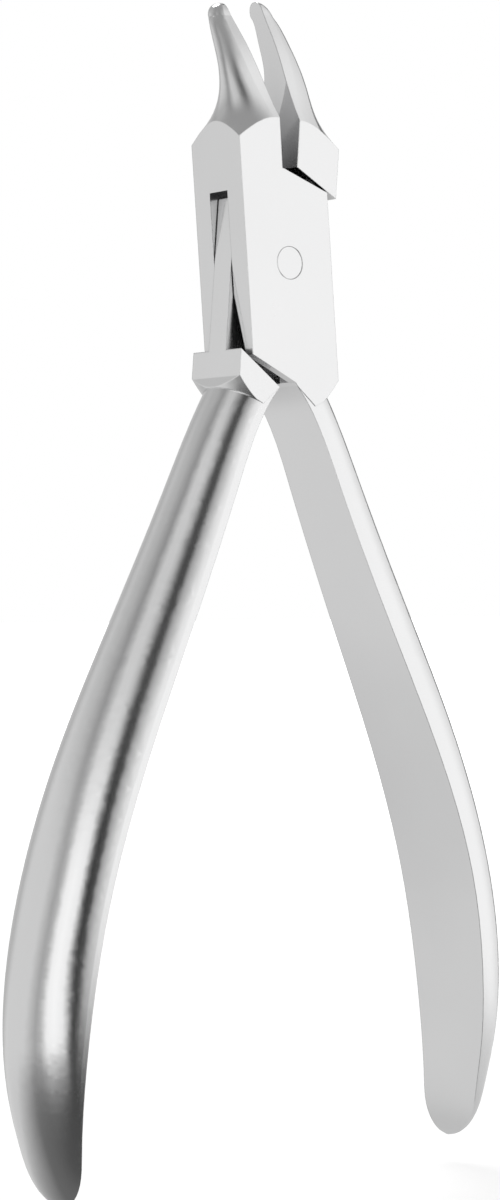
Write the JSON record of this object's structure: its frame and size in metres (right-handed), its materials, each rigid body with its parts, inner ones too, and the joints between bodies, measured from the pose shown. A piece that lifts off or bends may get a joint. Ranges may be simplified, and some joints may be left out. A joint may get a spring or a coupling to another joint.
{
  "type": "orthodontic pliers",
  "caption": "Box-jointed orthodontic pliers with offset half-round beaks, a flush pin and long bowed handles, resting slightly open.",
  "frame": {"origin": "on the pin's axis, in the flat front of the joint", "axes": "+Z from the pin up to the beaks, +Y through the joint from its front to its back, +X to the right seen from the front"},
  "size_m": [0.0668, 0.0122, 0.1289],
  "materials": {
    "box_half_steel": "satin stainless steel, polished on the rounded faces",
    "tongue_half_steel": "satin stainless steel, polished on the rounded faces",
    "pin_steel": "ground flush with the joint, satin"
  },
  "bodies": {
    "box_body": {"box_half": "box_half_steel", "joint_pin": "pin_steel"},
    "tongue_body": {"tongue_half": "tongue_half_steel"}
  },
  "joints": [
    {"name": "box_joint", "type": "hinge", "parent": "box_body", "child": "tongue_body", "pos_m": [0, 0.0041, 0], "axis": [0, 1, 0], "range_deg": [-9.3, 5]}
  ]
}
